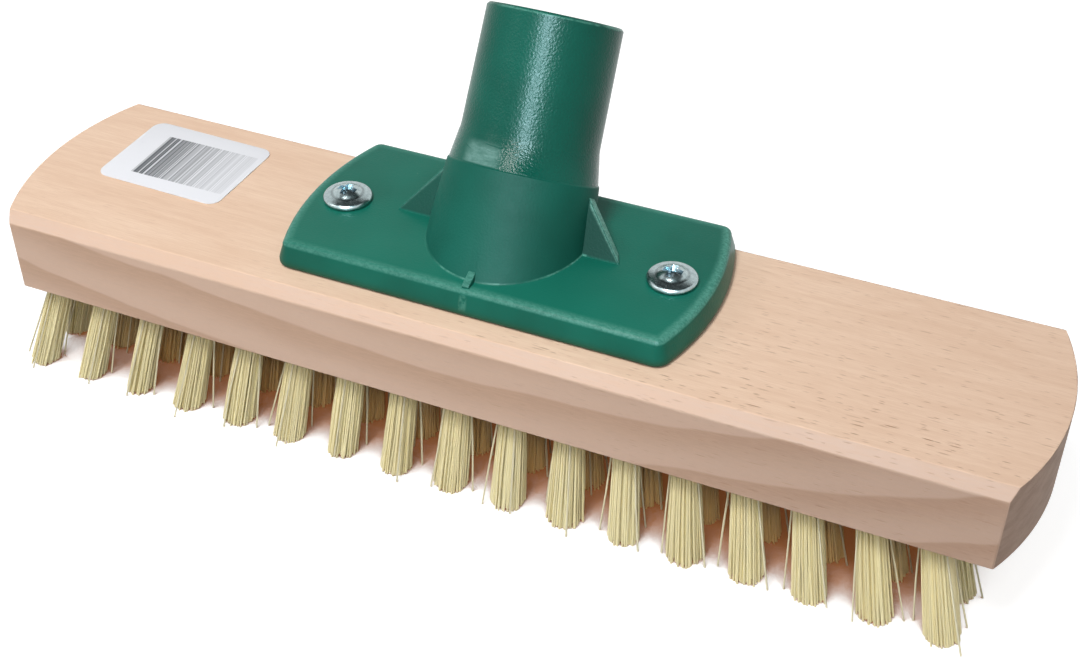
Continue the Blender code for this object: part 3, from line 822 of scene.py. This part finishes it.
def plasticPaint():
    paint = newFinish("mouldedGreen", {"Specular IOR Level": 0.16})
    x, y, z = paint.millimetres()
    facingUp, facingFront, facingAside = paint.facing("z"), 0 - paint.facing("y"), paint.facing("x").size()
    # along the tube's axis and away from it, in millimetres
    sideways, forward, aboveWood = paint.millimetres(tubeFoot)
    aboveDeck = z - socket["plateTop"] * 1000
    alongTube = forward * leanSine + aboveWood * leanCosine
    behindTube = forward * leanCosine - aboveWood * leanSine
    fromAxis = (sideways * sideways + behindTube * behindTube) ** 0.5
    toSide = sideways.size()
    # how far in from the plate's outline
    aside, across = [distance.size() for distance in paint.millimetres(plateMiddle)[:2]]
    endRadius = socket["plateEndRadius"] * 1000
    fromBow = aside + (endRadius - (plateHigh.x - plateLow.x) * 500)
    fromEnd = endRadius - (fromBow * fromBow + across * across) ** 0.5
    fromEdge = fromEnd.least(socket["plateHalfWidth"] * 1000 - across)
    cloud = paint.noise(paint.scaled(22, 22, 22))
    colour = paint.mix(cloud.ramp(0.3, 0.7), plastic["green"], plastic["deepGreen"])
    # painted light: the deck's top lighter, fading towards its back
    litDeck = facingUp.ramp(0.8, 0.95) * aboveDeck.fall(0.05, 0.30) * (1 - y.ramp(-22, 18, 0.0, 0.9))
    colour = paint.mix(litDeck * 0.65, colour, plastic["litDeckGreen"])
    onTube = aboveDeck.ramp(0.05, 0.60)
    colour = paint.mix(onTube * 0.9, colour, plastic["tubeShade"], "MULTIPLY")
    gussetFace = onTube * toSide.ramp(16.5, 17.5) * facingFront.ramp(0.70, 0.80)
    colour = paint.mix(gussetFace, colour, plastic["gussetShade"], "MULTIPLY")

    # the mould's spark-eroded skin
    grain = paint.noise(paint.scaled(0.46, 0.46, 0.46), roughness=0.65)
    pebbles = paint.noise(paint.scaled(0.54, 0.54, 0.54), detail=1.5)  # coarser on the tube
    coarse = paint.noise(paint.scaled(1.8, 1.8, 1.8), detail=1.0)

    # painted highlights, with some wear, lighten the edges: the plate's rounding, the line round the foot, the front
    # rib and the rim
    speckle = paint.noise(paint.scaled(0.9, 0.6, 0.6), detail=3.0, roughness=0.8).ramp(0.30, 0.70, 0.35, 1.0)
    broken = paint.noise(paint.scaled(3.5, 3.5, 3.5)).ramp(0.42, 0.58)
    atLongSide = (fromEnd - fromEdge).ramp(0.1, 1.0)
    deckEdge = fromEdge.fall(2.0, 4.0) * facingUp.ramp(0.25, 0.60) * aboveDeck.ramp(-1.7, -1.1)
    deckEdge = deckEdge * (0.55 + x.ramp(-40, 30) * 0.25 + fromEdge.ramp(0.0, 1.0) * (1 - atLongSide) * 0.2)
    # the foot's painted highlight line shows in three stretches
    leftStretch = sideways.band(-12.5, -8.5, -1.4, -1.0)
    middleStretch = sideways.band(2.4, 3.0, 6.0, 6.6) * 0.8
    rightStretch = sideways.ramp(10.5, 13.5)
    footLine = facingUp.band(0.25, 0.5, 0.75, 0.95) * aboveDeck.fall(0.3, 0.5) * fromAxis.fall(19.6, 20.0)
    footLine = footLine * leftStretch.most(middleStretch).most(rightStretch)
    ribTop = toSide.fall(0.7, 0.95) * y.fall(-15.5, -14.0) * aboveDeck.ramp(0.15, 0.50) * fromAxis.ramp(18.75, 18.85)
    rimLine = alongTube.band(55.2, 55.4, 55.6, 55.8)
    highlightAndWear = deckEdge.most(ribTop * 0.8).most(rimLine * broken * 0.9)
    highlightAndWear = highlightAndWear.most(footLine * (0.4 + broken * 0.6)) * speckle
    nearWoodShade = aboveWood.fall(0.3, 2.8) * facingUp.fall(0.2, 0.5)  # painted shade and reflection of the shaded wood, darker where the plate nears the wood

    # painted light on the gussets along their slopes, on top and on their front faces
    litSlope = facingAside.ramp(0.5, 0.7) * facingUp.ramp(0.3, 0.5) * toSide.ramp(17.0, 18.0) * fromAxis.ramp(17.0, 17.6)
    gussetFall = socket["gussetHeight"] - (socket["plateTop"] - blockTop) / leanCosine
    gussetFall = gussetFall / (socket["gussetReach"] - socket["collarRadius"])
    underSlope = socket["gussetHeight"] * 1000 - alongTube - (toSide - socket["collarRadius"] * 1000) * gussetFall
    litSlopeSide = underSlope.band(-1.5, -1.0, 0.5, 1.8) * toSide.ramp(17.6, 18.2) * facingFront.ramp(0.5, 0.8)
    litSlope = litSlope.most(litSlopeSide * 0.8) * aboveDeck.ramp(0.1, 0.8)

    # white scuffs near the plate's front corner and a few specks on its deck
    spot = paint.scaled(5.5, 3.2, 2.4, move=(-8.3, 7.05, -21.4))
    scratch = paint.noise(paint.scaled(1.6, 0.5, 0.5, turn=(0, 0, 0.5)), detail=4.0, roughness=0.8)
    near = paint.node("ShaderNodeVectorMath", {"operation": "LENGTH"}, {0: spot}, "Value").fall(0.1, 1.0)
    specks = paint.cells(paint.scaled(17, 17, 17)).fall(0.010, 0.016)
    wear = (scratch.ramp(0.53, 0.66) * near).most(specks * 0.35)

    # the gate's scar on the front edge, under the rib
    scar = toSide.fall(0.5, 1.2) * y.fall(-20.6, -20.2) * aboveWood.ramp(1.3, 2.2)
    scarSkin = paint.noise(paint.scaled(1.3, 1.3, 1.3), roughness=0.7)
    highlightAndWear = highlightAndWear.most(scar * scarSkin.ramp(0.35, 0.65) * 0.5)

    # a painted sheen on the collar's left, partly a rubbed patch, with curved scratches above it
    patch = alongTube.band(21.1, 21.6, 24.6, 27.0) * sideways.band(-10.0, -7.0, -1.5, 1.5)
    patch = patch * behindTube.fall(-9.0, -6.0)
    rubAndSheen = paint.noise(paint.scaled(4.5, 1.2, 1.2), detail=3.0, roughness=0.7).ramp(0.25, 0.75, 0.45, 1.0)
    scratchLine = paint.noise(paint.scaled(9.0, 9.0, 0.55)).ramp(0.56, 0.62)
    patch = patch * rubAndSheen * (1 - scratchLine * alongTube.ramp(23.6, 24.8) * 0.8)
    colour = paint.mix(nearWoodShade * 0.55, colour, plastic["woodShadeGreen"])
    colour = paint.mix(highlightAndWear, colour, plastic["edgeHighlightAndWear"])
    colour = paint.mix(litSlope * speckle * sideways.ramp(-20, 20, 0.50, 1.0), colour, plastic["litSlopeGreen"])
    colour = paint.mix(patch * 0.72, colour, plastic["sheen"])
    colour = paint.mix(wear, colour, plastic["scuff"])
    paint.feed("Base Color", colour)

    polished = alongTube.band(20.8, 21.6, 26.0, 29.0)
    upperTube = onTube * alongTube.ramp(20.8, 21.4)
    onFoot = onTube * alongTube.fall(20.6, 21.2)
    paint.feed("Roughness", 0.33 + coarse * 0.08 + wear * 0.2 + onFoot * 0.24 - upperTube * 0.07 - polished * 0.07)
    height = grain * (0.45 - onTube * 0.2) + pebbles * (onFoot * 0.5 + upperTube * 0.85)
    paint.feed("Normal", paint.bump(height + scar * scarSkin * 2.0 + wear * 0.8, 0.9, 0.00012))
    return paint


def bulgingOutline(halfLength, halfWidth, endRadius, cornerRadius):
    # straight long sides, bulging ends and rounded corners
    endMiddle = halfLength - endRadius
    cornerY = halfWidth - cornerRadius
    cornerX = endMiddle + math.sqrt((endRadius - cornerRadius) ** 2 - cornerY**2)
    meet = math.atan2(cornerY, cornerX - endMiddle)
    turnCorner = math.pi / 2 - meet
    cornerTurns = [turnCorner * step / socket["cornerPoints"] for step in range(socket["cornerPoints"] + 1)]
    bowTurns = [meet * (2 * step / socket["endPoints"] - 1) for step in range(1, socket["endPoints"])]

    def arc(x, y, radius, angles):
        return [(x + radius * math.cos(angle), y + radius * math.sin(angle)) for angle in angles]

    rightEnd = arc(cornerX, -cornerY, cornerRadius, [angle - math.pi / 2 for angle in cornerTurns])
    rightEnd += arc(endMiddle, 0, endRadius, bowTurns)
    rightEnd += arc(cornerX, cornerY, cornerRadius, [meet + angle for angle in cornerTurns])
    return rightEnd + [(-x, -y) for x, y in rightEnd]


def makePlate():
    halfLength = (plateHigh.x - plateLow.x) / 2
    thick = socket["plateTop"] - plateLow.z
    outline = bulgingOutline(
        halfLength, socket["plateHalfWidth"], socket["plateEndRadius"], socket["cornerRadius"]
    )
    bpy.ops.mesh.primitive_circle_add(vertices=len(outline), radius=halfLength, fill_type="NGON", location=(0, 0, 0))
    piece = newest("handleSocket")
    lower, upper = socket["lowerRounding"], socket["topRounding"]
    for vert, (x, y) in zip(piece.data.vertices, outline):
        vert.co = (x, y, lower)
    editAll(piece)
    bpy.ops.mesh.extrude_region_move(TRANSFORM_OT_translate={"value": (0, 0, lower)})
    bpy.ops.mesh.select_all(action="SELECT")
    bpy.ops.mesh.normals_make_consistent(inside=False)
    deselectAll()
    # drafted sides and a rounded top edge
    sides = [(socket["plateDraft"], thick - upper - 2 * lower)]
    stepInward(piece, lambda face: face.normal.z > 0.9, sides + roundingSteps(upper, 6))
    # the small lower rounding, and the tray under the deck
    tray = [(socket["wall"] - lower, 0), (socket["trayDraft"], socket["deck"] - thick)]
    stepInward(piece, lambda face: face.normal.z < -0.9, roundingSteps(lower, 4) + tray)
    piece.location = plateMiddle
    settle(piece)
    return piece


def makeTube():
    start = -socket["footRadius"] * leanSine / leanCosine - 0.001
    length, rim, bore = socket["tubeLength"], socket["tubeRadius"], socket["boreRadius"]
    collar, collarBottom, collarTop = socket["collarRadius"], socket["collarBottom"], socket["collarTop"]
    outer = rim + socket["tubeDraft"]
    profile = [
        (socket["footRadius"], start),
        (socket["footRadius"], socket["footTop"]),
        # the collar's lower edge, a little proud and eased
        (collar + 0.00010, collarBottom - 0.0005),
        (collar + 0.00002, collarBottom - 0.00012),
        (collar - 0.00010, collarBottom),
        (collar - 0.00024, collarBottom + 0.0002),
        # the collar runs softly into the tube
        (outer + 0.00026, collarTop - 0.0009),
        (outer + 0.00010, collarTop - 0.0002),
        (outer + 0.00003, collarTop + 0.0005),
        (outer - 0.00002, collarTop + 0.0014),
        # the rounded rim, then the bore with its lead-in
        (rim, length - 0.0006),
        (rim - 0.00008, length - 0.00048),
        (rim - 0.0005, length - 0.00004),
        (rim - 0.0006, length),
        (bore + 0.0007, length),
        (bore + 0.0004, length - 0.00015),
        (bore, length - 0.0008),
        (bore - socket["boreTaper"], start),
    ]
    piece = turnProfile("tube", profile, socket["tubePoints"])
    closeRing(piece)
    piece.matrix_world = tubeFrame
    settle(piece)
    return piece


def makeWay():
    # clears the plate inside the foot's wall
    bpy.ops.mesh.primitive_cylinder_add(vertices=96, radius=socket["wayRadius"], depth=0.04, location=(0, 0, 0))
    piece = newest("way")
    piece.matrix_world = tubeFrame
    settle(piece)
    return piece


def makeWedge(name, corners, thickness):
    # a thin plate through the corners, drawn as one face and extruded
    bpy.ops.mesh.primitive_circle_add(vertices=len(corners), radius=1, fill_type="NGON", location=(0, 0, 0))
    piece = newest(name)
    for vert, corner in zip(piece.data.vertices, corners):
        vert.co = corner
    editAll(piece)
    bpy.ops.mesh.extrude_region_move(TRANSFORM_OT_translate={"value": thickness})
    deselectAll()
    tidyMesh(piece)
    easeEdges(piece, socket["easedEdge"], 3, 40)
    return piece


def makeGusset(side):
    forward, thick = socket["gussetForward"], socket["gussetThickness"]
    foot = (socket["plateTop"] - blockTop - forward * leanSine) / leanCosine
    reach, top, collar = socket["gussetReach"], socket["gussetHeight"], socket["collarRadius"]
    fall = (top - foot) / (reach - collar)
    inner, sunk = collar - socket["gussetRoot"], socket["gussetSunk"]
    corners = [
        (side * (reach + sunk / fall), -forward - thick / 2, foot - sunk),
        (side * inner, -forward - thick / 2, top + (collar - inner) * fall),
        (side * inner, -forward - thick / 2, foot - sunk),
    ]
    piece = makeWedge("gusset", corners, (0, thick, 0))
    piece.matrix_world = tubeFrame
    settle(piece)
    return piece


def makeFrontRib():
    lean = leanSine / leanCosine
    footFront = tubeFoot.y + (socket["plateTop"] - blockTop) * lean
    footFront -= socket["footRadius"] / leanCosine
    toe = footFront - socket["ribReach"]
    head = footFront + socket["ribHeight"] * lean + socket["ribSunk"]
    top, base = socket["plateTop"], socket["plateTop"] - socket["ribSunk"]
    x = plateMiddle.x - socket["ribThickness"] / 2
    corners = [
        (x, toe, base),
        (x, toe, top + socket["ribToe"]),
        (x, head, top + socket["ribHeight"]),
        (x, head, base),
    ]
    return makeWedge("frontRib", corners, (socket["ribThickness"], 0, 0))


def makeSocket():
    piece = makePlate()
    combine(piece, makeWay(), "DIFFERENCE")
    combine(piece, makeTube(), "UNION")
    bpy.ops.mesh.primitive_cube_add(size=0.2, location=(plateMiddle.x, plateMiddle.y, plateLow.z - 0.1))
    combine(piece, newest("belowPlate"), "DIFFERENCE")
    for side in (-1, 1):
        combine(piece, makeGusset(side), "UNION")
    combine(piece, makeFrontRib(), "UNION")
    # the fillet where the foot meets the deck
    intoTube = tubeFrame.inverted()

    def onFootLine(vert):
        spot = intoTube @ vert.co
        onFoot = abs(math.hypot(spot.x, spot.y) - socket["footRadius"]) < 4e-5
        return onFoot and abs(vert.co.z - socket["plateTop"]) < 2e-6

    def footLine(edge):
        return all(onFootLine(vert) for vert in edge.verts) and edge.calc_face_angle(0) > 0.3

    print("foot line edges:", bevelEdges(piece, footLine, socket["footRounding"], 3))
    tidyMesh(piece)
    return piece


handleSocket = makeSocket()
dress(handleSocket, plasticPaint(), "green_plastic", "handle_socket")
print("socket moulded:", len(handleSocket.data.polygons), "faces")


# screws
screw = {
    "flangeRadius": 0.00575,
    "flangeThickness": 0.0016,
    "domeRadius": 0.0035,
    "domeHeight": 0.0013,
    "shankRadius": 0.002,
    "pointLength": 0.0035,
    "points": 72,
    "flangeFall": 0.0003,  # how much lower the flange is at its rim
    "rimRounding": 0.0009,
    "easedEdge": 0.00006,
    "recessSpan": 0.0058,
    "recessSlot": 0.0017,
    "recessDepth": 0.0018,
    "recessTaper": (0.55, 0.8),  # what its span and its slot keep at the bottom
    "bright": (0.47, 0.56, 0.565),
    "dull": (0.36, 0.44, 0.45),
    "skyReflectionBlue": (0.40, 0.51, 0.57),  # a painted reflection of the sky in the recess
    "hollowDark": (0.06, 0.07, 0.07),
}


def zincPaint(name, centre, flat):
    paint = newFinish(name, {"Metallic": 1.0})
    x, y, z = paint.millimetres((centre.x, centre.y, flat))
    fromMiddle = (x * x + y * y) ** 0.5
    cloud = paint.noise(paint.scaled(0.9, 0.9, 0.9), detail=3.0)
    colour = paint.mix(cloud.ramp(0.3, 0.7), screw["dull"], screw["bright"])
    # the recess is painted bluer, a painted reflection of the sky, and it is darker deep in its corners and round the
    # dome's foot
    inRecess = fromMiddle.fall(2.7, 2.9) * paint.facing("z").fall(0.55, 0.75).most(z < 0.5)
    colour = paint.mix(inRecess * 0.8, colour, screw["skyReflectionBlue"])
    domeFoot = fromMiddle.band(3.1, 3.5, 3.7, 4.1)
    deep = inRecess * z.fall(-0.4, 0.4)
    colour = paint.mix((domeFoot * 0.35).most(deep * 0.6), colour, screw["hollowDark"])
    paint.feed("Base Color", colour)
    paint.feed("Roughness", 0.19 + cloud * 0.12)
    paint.feed("Normal", paint.bump(paint.noise(paint.scaled(0.6, 0.6, 0.6)), 0.22, 0.00004))
    return paint


def makeScrew(name, node):
    nodeLow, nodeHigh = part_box(node)
    centre = (nodeLow + nodeHigh) / 2
    rim, flat = screw["flangeRadius"], nodeHigh.z - screw["domeHeight"]
    seat = flat - screw["flangeThickness"]
    rounding, edgeTop = screw["rimRounding"], flat - screw["flangeFall"]
    dome = screw["domeRadius"]
    ball = (dome**2 + screw["domeHeight"] ** 2) / (2 * screw["domeHeight"])
    opening = math.asin(dome / ball)
    profile = [
        (0.00005, nodeLow.z),
        (screw["shankRadius"], nodeLow.z + screw["pointLength"]),
        (screw["shankRadius"], seat),
        (rim - 0.0004, seat),
        (rim - 0.0001, seat + 0.00012),
        (rim, seat + 0.0003),
    ]
    for step in range(6):  # the rim's rounding
        angle = math.radians(15.5 * step)
        profile.append((rim - rounding * (1 - math.cos(angle)), edgeTop - rounding * (1 - math.sin(angle))))
    profile += [(dome + 0.0004, flat - 0.00004), (dome + 0.0001, flat), (dome - 0.0001, flat + 0.00012)]
    for step in range(1, 10):
        angle = opening * (1 - step / 10) + 0.02
        profile.append((ball * math.sin(angle), nodeHigh.z - ball + ball * math.cos(angle)))
    piece = turnProfile(name, profile, screw["points"])
    fillEnds(piece)
    piece.location = (centre.x, centre.y, 0)
    settle(piece)
    tidyMesh(piece)

    # the cross recess, narrower at its bottom
    depth = screw["recessDepth"]
    for turn in (0, math.pi / 2):
        bpy.ops.mesh.primitive_cube_add(size=1, location=(0, 0, 0))
        bar = newest("bar")
        for vert in bar.data.vertices:
            spanKept, slotKept = (1.0, 1.0) if vert.co.z > 0 else screw["recessTaper"]
            vert.co = Vector((
                vert.co.x * screw["recessSpan"] * spanKept,
                vert.co.y * screw["recessSlot"] * slotKept,
                vert.co.z * (depth + 0.001) + 0.0005 - depth / 2,
            ))
        bar.rotation_euler = (0, 0, turn)
        bar.location = (centre.x, centre.y, nodeHigh.z)
        settle(bar)
        combine(piece, bar, "DIFFERENCE")
    easeEdges(piece, screw["easedEdge"], 2, 45)
    tidyMesh(piece)
    return piece, centre, flat


for side in ("Left", "Right"):
    node = f"screw_{side.lower()}"
    headPiece, centre, flat = makeScrew("screw" + side, node)
    dress(headPiece, zincPaint("brightZinc" + side, centre, flat), "zinc_steel", node)
print("screws in")


# sticker
sticker = {
    "length": 0.0346,
    "width": 0.0266,
    "corner": 0.003,
    "cornerSteps": 10,
    "easedEdge": 0.00004,
    "turn": -1.2,  # degrees
    "bars": (-10.1, 15.7, -8.8, 8.5),  # left, right, front and back of the printed field, in mm from the middle
    "paper": (0.88, 0.89, 0.93),
    "ink": (0.10, 0.11, 0.12),
}


def stickerPaint(middle):
    paint = newFinish("whitePaper", {"Roughness": 0.45})
    left, right, front, back = sticker["bars"]
    x, y = paint.millimetres(middle)[:2]
    # plain bars of mixed widths, as printed in grey
    inside = (x > left) * (x < right) * (y > front) * (y < back)
    stripe = paint.node("ShaderNodeCombineXYZ", {}, {"X": x})
    wide = paint.noise(stripe, scale=0.85, detail=0.0).ramp(0.44, 0.53)
    thin = paint.noise(stripe, scale=1.9, detail=0.0).ramp(0.47, 0.55)
    bars = (wide * 0.75).most(thin) * (0.56 - x * 0.024) + (0.16 - x * 0.016).most(0.0)
    paint.feed("Base Color", paint.mix(bars * inside, sticker["paper"], sticker["ink"]))
    return paint


def makeSticker():
    nodeLow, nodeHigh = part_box("label")
    middle = (nodeLow + nodeHigh) / 2
    bpy.ops.mesh.primitive_plane_add(size=1, location=(0, 0, 0))
    piece = newest("sticker")
    for vert in piece.data.vertices:
        vert.co = Vector((vert.co.x * sticker["length"], vert.co.y * sticker["width"], 0))
    editAll(piece, "VERT")
    bpy.ops.mesh.bevel(offset=sticker["corner"], segments=sticker["cornerSteps"], affect="VERTICES")
    bpy.ops.mesh.select_all(action="SELECT")
    bpy.ops.mesh.extrude_region_move(TRANSFORM_OT_translate={"value": (0, 0, nodeHigh.z - nodeLow.z)})
    deselectAll()
    piece.rotation_euler = (0, 0, math.radians(sticker["turn"]))
    piece.location = (middle.x, middle.y, nodeLow.z)
    settle(piece)
    easeEdges(piece, sticker["easedEdge"], 2, 45)
    tidyMesh(piece)
    return piece, middle


stickerPiece, stickerMiddle = makeSticker()
dress(stickerPiece, stickerPaint(stickerMiddle), "label_paper", "label")
print("sticker on")

deselectAll()
